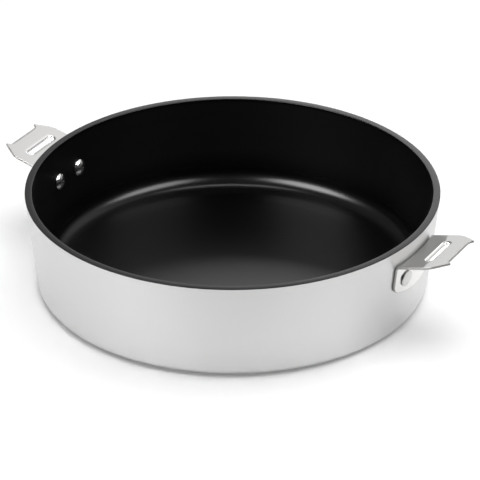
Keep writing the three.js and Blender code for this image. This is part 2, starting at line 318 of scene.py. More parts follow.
def inside_corners(depth, top):
    """Corners of the pan's inside at a depth below the coat's surface, from the middle to the rim."""
    inset = depth / np.cos(WALL_LEAN) - WALL
    low = FLOOR - depth
    return [
        (0, low, 0),
        (wall_radius(low) + inset, low, FLOOR_CORNER + depth),
        (wall_radius(top) + inset, top, 0),
    ]


def shell_profile():
    """Out along the underside, round the base corner, up the wall, over the rim and down the inside."""
    depth = COAT + COAT_BOND
    top = HEIGHT - depth
    pocket = DISC_RADIUS + DISC_CLEARANCE
    outside = [
        (0, DISC_THICKNESS, 0),
        (pocket, DISC_THICKNESS, 0),
        (pocket, DISC_PROUD, 0),
        (wall_radius(DISC_PROUD), DISC_PROUD, BASE_CORNER),
        (wall_radius(top), top, 0),
    ]
    return rounded(outside + inside_corners(depth, top)[::-1])


add_piece("pan_shell", *turned(shell_profile()), "pan_body", "shell_aluminium", ALUMINIUM)

# %% [markdown]
# ## Non-stick coat
# The coat is a fluoropolymer paint, sprayed in layers and baked. It is nearly black, with a low sheen:
# light from behind glides over the floor as a soft grey, and the hollow corner carries long highlights.
# It is dark in itself, so its look is nearly all reflection. Two numbers decide that: the refractive
# index, which is low for a fluoropolymer, and the roughness. The floor has the grain of the baked paint
# and the rings of the turned metal under it. Up the wall the spray lands drier and the coat is rougher,
# and on the rim it is smooth again.

# %% Non-stick coat finish
GRAIN = 0.7  # the baked grain is about 0.2 mm; drawn coarser so that it shows
GRAIN_DETAIL = 2.0
RING_SPACING = 2.5
RING_LENGTH = 400.0
COAT_RELIEF = 0.02  # height of the grain and of the rings
COAT_INDEX = 1.35
COAT_ROUGHNESS = (0.23, 0.29)  # between the rings and on them
DRY_SPRAY = (16.0, 30.0)  # heights between which the coat turns drier
DRY_ROUGHNESS = 0.12  # added where it is driest
SMOOTH_RIM = 3.0  # depth below the rim over which that is lost again


def nonstick_coat():
    """Near-black paint with a low sheen, a fine grain and faint rings, rougher on the wall."""
    material, tree, shader = new_finish("baked_nonstick_coat")
    place = add_node(tree, "ShaderNodeTexCoord").outputs["Object"]
    grain = noise(tree, place, (GRAIN, GRAIN, GRAIN), GRAIN_DETAIL)
    rings = lathe_lines(tree, RING_SPACING, RING_LENGTH)
    relief = {"Distance": COAT_RELIEF * MM, "Strength": 0.3}
    bump = add_node(tree, "ShaderNodeBump", {"Height": grain, **relief}).outputs["Normal"]
    bump = add_node(tree, "ShaderNodeBump", {"Height": rings, "Normal": bump, **relief}).outputs["Normal"]
    height = add_node(tree, "ShaderNodeSeparateXYZ", {"Vector": place}).outputs["Z"]
    low, high = DRY_SPRAY
    dry = {"Value": height, "From Min": low * MM, "From Max": high * MM, "To Max": DRY_ROUGHNESS}
    dry = add_node(tree, "ShaderNodeMapRange", dry).outputs["Result"]
    below_rim = {"Value": height, "From Min": HEIGHT * MM, "From Max": (HEIGHT - SMOOTH_RIM) * MM}
    below_rim = add_node(tree, "ShaderNodeMapRange", below_rim).outputs["Result"]
    rough = calculate(tree, "MULTIPLY_ADD", dry, below_rim, between(tree, rings, COAT_ROUGHNESS))
    shader.inputs["Base Color"].default_value = linear("#030203")
    shader.inputs["IOR"].default_value = COAT_INDEX
    tree.links.new(rough, shader.inputs["Roughness"])
    tree.links.new(bump, shader.inputs["Normal"])
    return material


NONSTICK = nonstick_coat()
print("finish:", NONSTICK.name)

# %% [markdown]
# The coat's surface runs from the middle of the floor up the wall and over the top of the rim, where it
# ends at the outer edge. Its hidden side lies against the shell. Where the floor turns up into the
# corner, the press leaves two very low beads that go round the pan and catch the light as faint lines. A
# bead is a raised cosine wave added along the surface's normal, so that it is real shape and not only
# shading.

# %% Non-stick coat
RIM_EDGE = 0.5
BEADS = [(113.0, 0.03), (102.5, 0.03)]  # radius and height of each bead
BEAD_WIDTH = 1.6
BEAD_STEPS = 9


def with_beads(path):
    """A path from the rim down to the middle of the floor, with a bead at each radius: points are added
    across the bead, and each rises along the normal by
    height x (1 + cos(pi x distance / half the width)) / 2."""
    reach = np.concatenate([[0], np.cumsum(np.linalg.norm(np.diff(path, axis=0), axis=1))])
    half = BEAD_WIDTH / 2
    lift = np.linspace(-half, half, BEAD_STEPS)
    places = [np.interp(-radius, -path[:, 0], reach) for radius, _ in BEADS]
    every = np.unique(np.concatenate([reach, *[place + lift for place in places]]))
    points = np.stack([np.interp(every, reach, path[:, 0]), np.interp(every, reach, path[:, 1])], axis=1)
    slope = np.gradient(points, every, axis=0)
    normal = np.stack([slope[:, 1], -slope[:, 0]], axis=1) / np.linalg.norm(slope, axis=1)[:, None]
    for place, (_, height) in zip(places, BEADS):
        away = np.clip(np.abs(every - place) / half, 0, 1)
        points = points + normal * (height * (1 + np.cos(np.pi * away)) / 2)[:, None]
    return points


def coat_profile():
    """Out along the hidden side and up to the rim, over it, and back along the surface to the middle."""
    hidden = rounded(inside_corners(COAT, HEIGHT - COAT))
    floor, corner, _ = inside_corners(0, HEIGHT)
    over = [
        (wall_radius(HEIGHT - COAT), HEIGHT - COAT, 0),
        (RIM_RADIUS, HEIGHT, RIM_EDGE / 2),
        (RIM_RADIUS - WALL, HEIGHT, RIM_EDGE),
        corner,
        floor,
    ]
    surface = rounded(over)
    inner = surface[:, 0] < RIM_RADIUS - WALL
    return np.concatenate([hidden, surface[~inner], with_beads(surface[inner])])


add_piece("pan_coat", *turned(coat_profile()), "nonstick_lining", "nonstick_coat", NONSTICK)

# %% [markdown]
# ## Base disc
# Aluminium alone doesn't work on an induction hob, so such a pan has a plate of magnetic stainless steel
# let into its underside. It is faced on a lathe, which leaves fine rings, and its edge is broken with a
# small bevel. The disc stands a little proud, so the pan rests on steel.

# %% Base disc
DISC_EDGE = 0.3
DISC_ROUND = 0.1
FACING_FEED = 1.1  # the tool's feed is about 0.2 mm a turn; drawn coarser so that it shows
FACING_LENGTH = 300.0
FACING_DEPTH = 0.03
FACED_ROUGHNESS = (0.26, 0.42)  # between the rings and on them


def turned_steel():
    """Grey stainless steel with fine facing rings."""
    material, tree, shader = new_finish("turned_stainless_steel")
    rings = lathe_lines(tree, FACING_FEED, FACING_LENGTH)
    bump = {"Height": rings, "Distance": FACING_DEPTH * MM, "Strength": 0.5}
    bump = add_node(tree, "ShaderNodeBump", bump).outputs["Normal"]
    shader.inputs["Base Color"].default_value = linear("#b4b3b0")
    shader.inputs["Metallic"].default_value = 1.0
    tree.links.new(between(tree, rings, FACED_ROUGHNESS), shader.inputs["Roughness"])
    tree.links.new(bump, shader.inputs["Normal"])
    return material


def disc_profile():
    """Out along the resting face, over the bevelled edge, up the side and back across the top."""
    return rounded([
        (0, 0, 0),
        (DISC_RADIUS - DISC_EDGE, 0, DISC_ROUND),
        (DISC_RADIUS, DISC_EDGE, DISC_ROUND),
        (DISC_RADIUS, DISC_THICKNESS, 0),
        (0, DISC_THICKNESS, 0),
    ])


add_piece("base_plate", *turned(disc_profile()), "base_disc", "base_steel", turned_steel())

# %% [markdown]
# ## Stamped stainless steel
# The grips are cut from bright-rolled stainless sheet. It is nearly a mirror, a little clouded, so it
# shows the wall of the pan beside it as a darker field with a clear edge. The rolling leaves a faint
# grain along the strip, which here runs across the grip. Where the punch has cut it, the sheet's edge is
# torn metal and not rolled skin, so it is duller. It is also painted greyer: that grey is painted shade,
# standing in for the dark room and shadow that the edge mirrors. Which points are on the cut is a number
# on the mesh, from 0 to 1, that is made with the grip's shape further down.

# %% Stamped stainless steel
ROLL_GRAIN = 0.6  # rolling lines are about 0.05 mm apart; drawn coarser so that they show
ROLL_LENGTH = 40.0
ROLL_DEPTH = 0.004
ROLLED_ROUGHNESS = (0.06, 0.11)  # between the lines and on them
CUT_ROUGHNESS = 0.4


def stamped_steel():
    """Bright sheet with slightly clouded reflections, a faint rolling grain and dull cut edges painted grey
    as shade.
    """
    material, tree, shader = new_finish("bright_rolled_stainless_steel")
    place = add_node(tree, "ShaderNodeTexCoord").outputs["Object"]
    grain = noise(tree, place, (ROLL_GRAIN, ROLL_LENGTH, ROLL_GRAIN), GRAIN_DETAIL)
    bump = add_node(tree, "ShaderNodeBump", {"Height": grain, "Distance": ROLL_DEPTH * MM})
    cut = add_node(tree, "ShaderNodeAttribute", attribute_name="cut_edge_and_painted_shade").outputs["Fac"]
    rough = between(tree, cut, (between(tree, grain, ROLLED_ROUGHNESS), CUT_ROUGHNESS))
    # The cut's grey is painted shade: it stands in for the dark room and shadow mirrored in the edge.
    colour = {"Factor": cut, "A": linear("#dedddc"), "B": linear("#a3a2a0")}
    colour = add_node(tree, "ShaderNodeMix", colour, data_type="RGBA")
    shader.inputs["Metallic"].default_value = 1.0
    tree.links.new(colour.outputs["Result"], shader.inputs["Base Color"])
    tree.links.new(rough, shader.inputs["Roughness"])
    tree.links.new(bump.outputs["Normal"], shader.inputs["Normal"])
    return material


GRIP_STEEL = stamped_steel()
print("finish:", GRIP_STEEL.name)

# %% [markdown]
# ## The grip's outline
# A grip starts as a flat blank: a wide lower edge that will lie on the wall, straight sides, a taper and
# two small horns with a straight edge between them. Across the blank, each position y has just one lowest
# and one highest point, so the outline is two functions of y, and a grid of columns can follow it
# exactly.

# %% Outline of the grip
SHEET = 1.5
GRIP_WIDTH = 51.0
TAB_DROP = 11.5  # from the rim to where the tab's upper face would meet the wall
TAB_ROOT = HEIGHT - TAB_DROP
TAB_SLOPE = np.radians(14.7)
TAB_REACH = 30.4
TAPER_START = 21.3
TAPER_ROUND = 12.0
HORN_SPAN = 35.0
HORN_LENGTH = 2.8
HORN_HOLLOW = 2.4
HORN_TIP = 0.5
FLANGE_HEIGHT = 25.7
FLANGE_BOTTOM = TAB_ROOT - FLANGE_HEIGHT
FLANGE_RISE = 6.0
FLANGE_CORNER = 7.0
SIDE = GRIP_WIDTH / 2


def tab_edge(y):
    """How far the tab reaches from its root at position y: the straight outer edge, a hollow, a horn and
    the taper, as one rounded path that is read at |y|."""
    tip = HORN_SPAN / 2
    hollow = tip - 2 * HORN_TIP - HORN_HOLLOW / 2
    path = rounded([
        (0, TAB_REACH, 0),
        (hollow, TAB_REACH, HORN_HOLLOW),
        (tip, TAB_REACH + HORN_LENGTH, HORN_TIP),
        (SIDE, TAPER_START, TAPER_ROUND),
        (SIDE, 0, 0),
    ])
    return np.interp(np.abs(y), *path[:-1].T)


def flange_edge(y):
    """Height of the flange's lower edge at position y: one wide arc, and an arc of the corner radius that
    joins it to each side. Both are z = centre - sqrt(radius^2 - distance^2)."""
    crown = (SIDE**2 + FLANGE_RISE**2) / (2 * FLANGE_RISE)
    lean = np.arcsin((SIDE - FLANGE_CORNER) / (crown - FLANGE_CORNER))
    middle = FLANGE_BOTTOM + crown
    corner = middle - (crown - FLANGE_CORNER) * np.cos(lean)
    away = np.maximum(np.abs(y) - SIDE + FLANGE_CORNER, 0)
    wide = middle - np.sqrt(crown**2 - y**2)
    tight = corner - np.sqrt(np.maximum(FLANGE_CORNER**2 - away**2, 0))
    return np.where(np.abs(y) > crown * np.sin(lean), tight, wide)


print(f"tab from {tab_edge(0.0):.1f} to {tab_edge(np.linspace(0, SIDE, 500)).max():.1f} mm long")

# %% [markdown]
# ## The grip's bend
# The blank is pressed so that its flange follows the round wall and its tab stays flat. Along each column
# the sheet runs up the flange, round the bend and out along the tab. Seen from the side that is a line,
# an arc and a line, so a point is given by the length s along its column, counted from the end of the
# bend, and by its depth below the upper face. Away from the middle the flange steps back with the wall.
# It steps back along the slope of the tab, and so the tab remains one plane.

# %% Bend of the grip
BEND_RADIUS = 1.6
GRIP_GAP = 0.2
TAB_OUT = np.array([np.cos(TAB_SLOPE), np.sin(TAB_SLOPE)])
TAB_UP = np.array([-np.sin(TAB_SLOPE), np.cos(TAB_SLOPE)])
FLANGE_UP = np.array([np.sin(WALL_LEAN), np.cos(WALL_LEAN)])
TO_WALL = np.array([-np.cos(WALL_LEAN), np.sin(WALL_LEAN)])
BEND_TURN = np.pi / 2 - WALL_LEAN - TAB_SLOPE
BEND_OUTER = BEND_RADIUS + SHEET
BEND_LENGTH = BEND_OUTER * BEND_TURN
ROOT = np.array([wall_radius(TAB_ROOT), TAB_ROOT])
RIVET_DROP = 13.7
RIVET_HEIGHT = TAB_ROOT - RIVET_DROP


def bend_end():
    """Where the bend turns into the tab: the tab's line and the flange's line meet in the knee, and the arc
    starts one tangent length from it, radius x tan(half the turn)."""
    gap = np.array([wall_radius(TAB_ROOT) + GRIP_GAP / np.cos(WALL_LEAN), TAB_ROOT])
    across = np.stack([TAB_OUT, -FLANGE_UP], axis=1)
    reach = np.linalg.solve(across, gap - ROOT)[0]
    return reach + BEND_OUTER * np.tan(BEND_TURN / 2)


BEND_END = bend_end()


def step_back(y):
    """How far the wall has curved away at position y, measured along the tab:
    (sqrt(R^2 - y^2) - R) / cos(slope)."""
    radius = wall_radius(RIVET_HEIGHT)
    return (np.sqrt(radius**2 - y**2) - radius) / np.cos(TAB_SLOPE)


def sheet_points(s, y, depth):
    """The point at length s and position y, at a depth below the upper face. Beyond s = 0 it is on the
    tab's line. Before it, the normal has turned by -s / radius round the bend's centre, at most by the
    whole turn, and what is left of s runs straight down the flange."""
    start = BEND_END + step_back(y)
    on_tab = np.maximum(s, 0)
    turn = np.clip(-s / BEND_OUTER, 0, BEND_TURN)
    down = np.maximum(-s - BEND_LENGTH, 0)
    normal = np.cos(turn)[..., None] * TAB_UP - np.sin(turn)[..., None] * TAB_OUT
    plane = ROOT + (start + on_tab)[..., None] * TAB_OUT - BEND_OUTER * TAB_UP
    plane = plane + (BEND_OUTER - depth)[..., None] * normal - down[..., None] * FLANGE_UP
    return np.stack([plane[..., 0], y, plane[..., 1]], axis=-1)


print(f"bend of {np.degrees(BEND_TURN):.1f} degrees, ends {BEND_END:.1f} mm from the root")

# %% [markdown]
# ## The slot and the edges
# A long slot with round ends goes through the tab, and its upper edge is rolled down into it, which makes
# the bright line along the slot. All round the blank the cut edges are tumbled, which rounds them by a
# fraction of a millimetre. Between the horns, where fingers pull, the upper edge is rounded over more
# than a millimetre. All of these are depths below the flat sheet: a quarter of an ellipse, read at the
# distance from the slot or from the outline.

# %% Slot and edges of the grip
SLOT_LENGTH = 28.8
SLOT_WIDTH = 3.8
SLOT_DISTANCE = 16.0  # from the root, measured level
SLOT_PLACE = SLOT_DISTANCE / np.cos(TAB_SLOPE)
SLOT_ROLL = 2.0
SLOT_RUN = (SLOT_LENGTH - SLOT_WIDTH) / 2
CUT_EDGE = np.array([0.3, 0.3])  # width and depth of the rounding all round the blank
FINGER_EDGE = np.array([1.2, 0.5])  # and on the upper face where the fingers pull
FINGER_SPAN = HORN_SPAN / 2 - np.array([5.0, 1.5])  # the positions between which one turns into the other
# The cut's grey is painted shade, so this also sets where that painted shade ends.
CUT_FADE = 1.5  # distance from the outline at which a cut's grey ends, in widths of the rounding


def slot_half_width(y):
    """Half the slot's clear width at position y: even along the run, a circle at each end, then zero."""
    past = np.maximum(np.abs(y) - SLOT_RUN, 0)
    return np.sqrt(np.maximum((SLOT_WIDTH / 2) ** 2 - past**2, 0))


def edge_depth(distance, width, depth):
    """Depth of a rounded edge: with q = 1 - distance / width, it is depth x (1 - sqrt(1 - q^2))."""
    q = np.clip(1 - distance / width, 0, 1)
    return depth * (1 - np.sqrt(1 - q**2))


def roll_depth(reach, y):
    """Depth of the slot's rolled edge, which ends at the sheet's lower face. A point's distance from the
    slot is its distance from the slot's middle line, or past the line from its end, less half the width."""
    past = np.maximum(np.abs(y) - SLOT_RUN, 0)
    away = np.hypot(reach - SLOT_PLACE, past) - SLOT_WIDTH / 2
    return edge_depth(away, SLOT_ROLL, SHEET)


print(f"slot {SLOT_LENGTH} x {SLOT_WIDTH} mm, its edge rolled over {SLOT_ROLL} mm")

# %% [markdown]
# ## The grip as one grid
# The columns stand close together where the outline curves: at the slot's ends, the horns and the
# corners. Each column has rows up the flange, round the bend and to the slot, and then from the slot's
# far side to the outer edge. On the rolled edge the rows run round the slot. Beside the slot the two
# stretches leave a hole, and past its ends they share their points.

# %% Columns and rows of the grip
RUN_COLUMNS = 8
ROUND_COLUMNS = 17
HORN_COLUMNS = 24
HORN_WIDENING = 1.3
FLANGE_ROWS = 18
BEND_ROWS = 10
TAB_ROWS = 8
ROLL_ROWS = 13
ROLL_SPREAD = 0.05
EDGE_ROWS = 18


def grip_columns():
    """Positions across the grip: even along the slot's run, then closing in on the slot's end and on the
    side as the sine of an even angle. Between those two, a power of an even share widens the steps from
    the slot's end on. The other half is the mirror image."""
    quarter = np.linspace(0, np.pi / 2, ROUND_COLUMNS)
    end = SLOT_LENGTH / 2
    middle = np.linspace(0, SLOT_RUN, RUN_COLUMNS, endpoint=False)
    round_end = SLOT_RUN + (end - SLOT_RUN) * np.sin(quarter)[:-1]
    share = np.linspace(0, 1, HORN_COLUMNS, endpoint=False)
    horn = end + (SIDE - FLANGE_CORNER - end) * share**HORN_WIDENING
    side = SIDE - FLANGE_CORNER + FLANGE_CORNER * np.sin(quarter)
    half = np.concatenate([middle, round_end, horn, side])
    return np.concatenate([-half[:0:-1], half])


def rows_round_slot(y):
    """How far from the slot's middle line each row of the rolled edge lies at position y. A row keeps one
    distance from the slot, roll x (1 - sin t) at an even angle t, so the edge turns by the same angle from
    row to row. That makes it a circle round each end, and past the circle a small spread keeps rows apart:
    hypot(sqrt((half width + distance)^2 - past^2), spread)."""
    angle = np.linspace(np.pi / 2, 0, ROLL_ROWS)[:, None]
    ring = SLOT_WIDTH / 2 + SLOT_ROLL * (1 - np.sin(angle))
    past = np.maximum(np.abs(y) - SLOT_RUN, 0)
    spread = ROLL_SPREAD * np.arange(ROLL_ROWS)[:, None]
    return np.hypot(np.sqrt(np.maximum(ring**2 - past**2, 0)), spread)


def grip_rows(y):
    """Lengths s of every row in every column: the stretch up to the slot, and the stretch beyond it. Rows
    crowd towards the outline as the square of an even share."""
    top = ROOT[1] + (BEND_END + step_back(y)) * TAB_OUT[1] - BEND_OUTER * (TAB_UP[1] - TO_WALL[1])
    flange = (top - flange_edge(y)) / np.cos(WALL_LEAN)
    outer = tab_edge(y) / np.cos(TAB_SLOPE) - BEND_END - step_back(y)
    slot = SLOT_PLACE - BEND_END - step_back(y)
    roll = rows_round_slot(y)
    down = np.linspace(1, 0, FLANGE_ROWS, endpoint=False)[:, None]
    rows_flange = -BEND_LENGTH - flange * (1 - (1 - down) ** 2)
    rows_bend = -BEND_LENGTH * np.linspace(1, 0, BEND_ROWS, endpoint=False)[:, None] + 0 * y
    rows_tab = (slot - roll[-1]) * np.linspace(0, 1, TAB_ROWS, endpoint=False)[:, None]
    to_go = np.linspace(1, 0, EDGE_ROWS, endpoint=False)[1:, None] ** 2
    rows_edge = (slot + roll[-1]) * to_go + outer * (1 - to_go)
    near = np.concatenate([rows_flange, rows_bend, rows_tab, slot - roll[::-1]])
    far = np.concatenate([slot + roll, rows_edge, outer[None]])
    return near, far, flange, outer


GRIP_COLUMNS = grip_columns()
GRIP_NEAR, GRIP_FAR, FLANGE_LENGTH, TAB_LENGTH = grip_rows(GRIP_COLUMNS)
print(f"grip: {GRIP_COLUMNS.size} columns of {len(GRIP_NEAR) + len(GRIP_FAR)} rows")

# %% [markdown]
# The same grid serves both faces of the sheet. The upper face sinks into the slot and at its rounded edges.
# The under face lies a sheet's thickness deeper, and its edges are rounded the other way.

# %% Points of the grip


def grip_surface(s, y):
    """Points of a grip on the +X side, first of the upper face and then of the under one, and for each how
    far it belongs to the dull cut edge with its painted grey shade: fade - distance / width of the
    rounding, held between 0 and 1.
    distance from the outline is the least of the way to the side and the ways along the column to both
    ends, which are shortened by the slant of the outline there."""
    slant = [1 / np.hypot(1, np.gradient(limit, y)) for limit in (FLANGE_LENGTH, TAB_LENGTH)]
    y = np.broadcast_to(y, s.shape)
    to_outline = np.minimum(SIDE - np.abs(y), (s + BEND_LENGTH + FLANGE_LENGTH) * slant[0])
    to_outline = np.minimum(to_outline, (TAB_LENGTH - s) * slant[1])
    to_outline = np.maximum(to_outline, 0)
    roll = np.where(s > 0, roll_depth(s + BEND_END + step_back(y), y), 0)
    finger = np.where(s > 0, np.interp(np.abs(y), FINGER_SPAN, (1, 0)), 0)[..., None]
    rounding = np.moveaxis(CUT_EDGE + (FINGER_EDGE - CUT_EDGE) * finger, -1, 0)
    upper = np.maximum(edge_depth(to_outline, *rounding), roll)
    under = SHEET - edge_depth(to_outline, *CUT_EDGE)
    points = np.stack([sheet_points(s, y, depth) for depth in (upper, under)])
    # How far a point takes the cut's dull finish and its painted grey shade.
    cut = np.clip(CUT_FADE - to_outline / rounding[0], 0, 1)
    return points.reshape(-1, 3), np.tile(cut.ravel(), 2)


GRIP_LENGTHS = np.concatenate([GRIP_NEAR, GRIP_FAR])
face_points, face_cut_and_shade = grip_surface(GRIP_LENGTHS, GRIP_COLUMNS)
print(f"grip: {len(face_points)} points on both faces")

# %% [markdown]
# Last, the points are joined. Past the slot's ends the two stretches are sewn together, along the slot the
# two faces share their points, and a strip closes the sheet round the outline. Points that no face uses
# any more are dropped.

# %% Faces of the grip


def outline_loop(grid):
    """The vertex numbers round the outside of a grid, back to the first."""
    return np.concatenate([grid[0], grid[1:, -1], grid[-1, -2::-1], grid[-2::-1, 0]])


def grip_faces(y, shape, seam):
    """Four point numbers for each face of a grip with columns at y, a grid of a shape on each side of the
    sheet, and the seam between the two stretches before the row of that number."""
    upper = np.arange(np.prod(shape)).reshape(shape)
    upper[seam] = np.where(slot_half_width(y) > 0, upper[seam], upper[seam - 1])
    under = upper + upper.size
    lips = slice(seam - 1, seam + 1)
    under[lips] = np.where(np.abs(y) <= SLOT_LENGTH / 2, upper[lips], under[lips])
    stretches = [slice(0, seam), slice(seam, None)]
    quads = [quads_between(upper[part][:, ::-1]) for part in stretches]
    quads += [quads_between(under[part]) for part in stretches]
    rims = [outline_loop(np.delete(grid, seam, axis=0)) for grid in (upper, under)]
    return np.concatenate([*quads, quads_between(np.stack(rims))])


all_quads = grip_faces(GRIP_COLUMNS, GRIP_LENGTHS.shape, len(GRIP_NEAR))
used, grip_quads = np.unique(all_quads, return_inverse=True)
grip_quads = grip_quads.reshape(-1, 4)
grip_points = face_points[used]
grip_cut_and_shade = face_cut_and_shade[used]
print(f"grip: {len(grip_points)} points, {len(grip_quads)} faces")

# %% [markdown]
# The left grip is the same stamping, turned half a turn round the pan. Both meshes carry the numbers that
# mark the cut edge for the finish: its dullness and its painted grey shade.

# %% Both grips
NO_TRIANGLES = np.empty((0, 3), int)
HALF_TURN = np.array([-1, -1, 1])
for hand, turn in (("right", np.ones(3)), ("left", HALF_TURN)):
    shape = grip_points * turn, grip_quads, NO_TRIANGLES
    grip = add_piece(f"{hand}_grip", *shape, f"{hand}_bracket", "grip_steel", GRIP_STEEL)
    cut_edge_and_painted_shade = grip.data.attributes.new("cut_edge_and_painted_shade", "FLOAT", "POINT")
    cut_edge_and_painted_shade.data.foreach_set("value", grip_cut_and_shade)

# %% [markdown]
# ## Rivets
# A solid rivet passes through the flange and the wall. Inside the pan it has a tall, polished dome, a
# small convex mirror that gathers the lamps into spots. The head on the flange is flatter, and the press
# that sets the rivet leaves it satin. Its colour is also painted a little greyer: that is painted shade,
# standing in for the shadow that it mirrors beside the pan. Each head is a sphere's cap on a short upright
# edge. Heads and shank are one profile, turned about the rivet's own axis, so no seam is needed between
# them.

# %% Rivet finish and shape
SHANK = 2.5
INNER_HEAD = 5.8
OUTER_HEAD = 5.5
INNER_DOME = 2.6
OUTER_DOME = 0.75
INNER_EDGE = 0.6
OUTER_EDGE = 0.85
HEAD_SEAT = 0.25
RIVET_PITCH = 26.0
RIVET_STEPS = 64
DOME_STEPS = 14
RIVET_ROUGHNESS = (0.16, 0.34)  # inside and outside


def polished_steel():
    """Bright metal: nearly a mirror inside the wall's middle radius, satin and painted greyer as shade
    outside it.
    """
    material, tree, shader = new_finish("polished_rivet_steel")
    place = add_node(tree, "ShaderNodeTexCoord").outputs["Object"]
    flat = {0: place, 1: (1, 1, 0)}
    flat = add_node(tree, "ShaderNodeVectorMath", flat, operation="MULTIPLY").outputs["Vector"]
    radius = add_node(tree, "ShaderNodeVectorMath", {0: flat}, operation="LENGTH").outputs["Value"]
    middle = (wall_radius(RIVET_HEIGHT) - WALL / 2) * MM
    outside = {"Value": radius, "From Min": middle - MM, "From Max": middle + MM}
    outside = add_node(tree, "ShaderNodeMapRange", outside).outputs["Result"]
    # Outside, the greyer colour is painted shade.
    colour = {"Factor": outside, "A": linear("#e6e6e4"), "B": linear("#d0d0ce")}
    colour = add_node(tree, "ShaderNodeMix", colour, data_type="RGBA")
    shader.inputs["Metallic"].default_value = 1.0
    tree.links.new(colour.outputs["Result"], shader.inputs["Base Color"])
    tree.links.new(between(tree, outside, RIVET_ROUGHNESS), shader.inputs["Roughness"])
    return material


def dome(radius, height, base, way):
    """A cap of a sphere from its edge to its middle: with sphere = (r^2 + h^2) / 2h, the rise at distance d
    is sqrt(sphere^2 - d^2) - sphere + h, added to the base in the given way."""
    sphere = (radius**2 + height**2) / (2 * height)
    away = radius * np.cos(np.linspace(0, np.pi / 2, DOME_STEPS))
    rise = np.sqrt(sphere**2 - away**2) - sphere + height
    return np.stack([away, base + way * rise], axis=1)


def rivet_profile():
    """From the middle of the inner head, along the shank to the middle of the outer one. Height 0 is the
    outside of the wall, and the inner head stands off its hollow face by the depth of the hollow."""
    hollow = INNER_HEAD**2 / (2 * (wall_radius(RIVET_HEIGHT) - WALL))
    inner = -(WALL * np.cos(WALL_LEAN) + hollow + HEAD_SEAT)
    outer = GRIP_GAP + SHEET + HEAD_SEAT
    shank = [(INNER_HEAD, inner), (SHANK, inner), (SHANK, outer), (OUTER_HEAD, outer)]
    inside = dome(INNER_HEAD, INNER_DOME, inner - INNER_EDGE, -1)[::-1]
    outside = dome(OUTER_HEAD, OUTER_DOME, outer + OUTER_EDGE, 1)
    return np.concatenate([inside, shank, outside])


RIVET_STEEL = polished_steel()
rivet_points, rivet_quads, rivet_fans = turned(rivet_profile(), RIVET_STEPS)
print(f"finish: {RIVET_STEEL.name}, rivet {np.ptp(rivet_points[:, 2]):.1f} mm long")

# %% [markdown]
# Each rivet is swung to its place on the wall and tipped with the wall's lean, so that its head sits
# square.

# %% Rivets in place


def placed_on_wall(points, swing):
    """Points of a rivet about its axis, laid along the wall's normal at their height and swung round Z."""
    out = np.array([np.cos(WALL_LEAN), 0, -np.sin(WALL_LEAN)])
    up = np.array([np.sin(WALL_LEAN), 0, np.cos(WALL_LEAN)])
    side = np.cross(out, up)
    seat = np.array([wall_radius(RIVET_HEIGHT), 0, RIVET_HEIGHT])
    laid = seat + points @ np.stack([up, side, out])
    turn = np.array([[np.cos(swing), np.sin(swing), 0], [-np.sin(swing), np.cos(swing), 0], [0, 0, 1]])
    return laid @ turn


SPREAD = np.arcsin(RIVET_PITCH / 2 / wall_radius(RIVET_HEIGHT))
SWINGS = {
    "right_front": -SPREAD,
    "right_back": SPREAD,
    "left_front": np.pi + SPREAD,
    "left_back": np.pi - SPREAD,
}
for place, swing in SWINGS.items():
    spot = placed_on_wall(rivet_points, swing)
    add_piece(f"rivet_{place}", spot, rivet_quads, rivet_fans, f"{place}_rivet", "rivet_steel", RIVET_STEEL)

# %% [markdown]
# ## Camera
# The view is a long lens from well back, a little to the right of the front and above the rim. The camera
# comes before the lights, because a studio is set up from behind it: every light below is placed by its
# angle from the way the camera looks.

# %% Camera
CAMERA_AZIMUTH = np.radians(30.0)
CAMERA_ELEVATION = np.radians(28.57)
CAMERA_DISTANCE = 1.9046
CAMERA_AROUND = Vector((0, 0, 0.035))
CAMERA_AIM = Vector((0.00575, 0.0001, 0.0299))
LENS = 210.0
AWAY = np.array([-np.sin(CAMERA_AZIMUTH), np.cos(CAMERA_AZIMUTH), 0])
RIGHT = np.array([np.cos(CAMERA_AZIMUTH), np.sin(CAMERA_AZIMUTH), 0])
UP = np.array([0, 0, 1])


def direction(turn, height):
    """The direction at an angle from straight away, positive to the right, and at a height above the
    table, both in degrees."""
    turn, height = np.radians(turn), np.radians(height)
    return Vector(np.cos(height) * (np.cos(turn) * AWAY + np.sin(turn) * RIGHT) + np.sin(height) * UP)


camera = bpy.data.objects.new("camera", bpy.data.cameras.new("camera"))
camera.location = CAMERA_AROUND + direction(180, np.degrees(CAMERA_ELEVATION)) * CAMERA_DISTANCE
camera.rotation_euler = (CAMERA_AIM - camera.location).to_track_quat("-Z", "Y").to_euler()
camera.data.lens = LENS
bpy.context.scene.collection.objects.link(camera)
bpy.context.scene.camera = camera
bpy.context.scene.view_settings.view_transform = "Standard"
print("camera at", [round(part, 3) for part in camera.location])

# %% [markdown]
# ## Floor
# The pan stands on a sheet of white paper that ends just below the picture, as a sheet on a table does.
# Steel is a mirror, so the dark room in front of that edge is what draws the darker line on the front of
# a grip. To the camera, and in metal and glass, a small part of the paper's white is its own, and the
# rest is the light that falls on it. Only the rest is lost in the shadow, so the shadow stays pale.

# %% Floor
PAPER_FRONT = 0.37
PAPER_BACK = 3.0
PAPER_SIDE = 2.5
PAPER_OWN_WHITE = 0.15


def seen_directly(tree):
    """One for a ray from the camera, or from a reflection or a clear body, and zero for scattered light."""
    rays = add_node(tree, "ShaderNodeLightPath").outputs
    seen = calculate(tree, "MAXIMUM", rays["Is Camera Ray"], rays["Is Glossy Ray"])
    return calculate(tree, "MAXIMUM", seen, rays["Is Transmission Ray"])


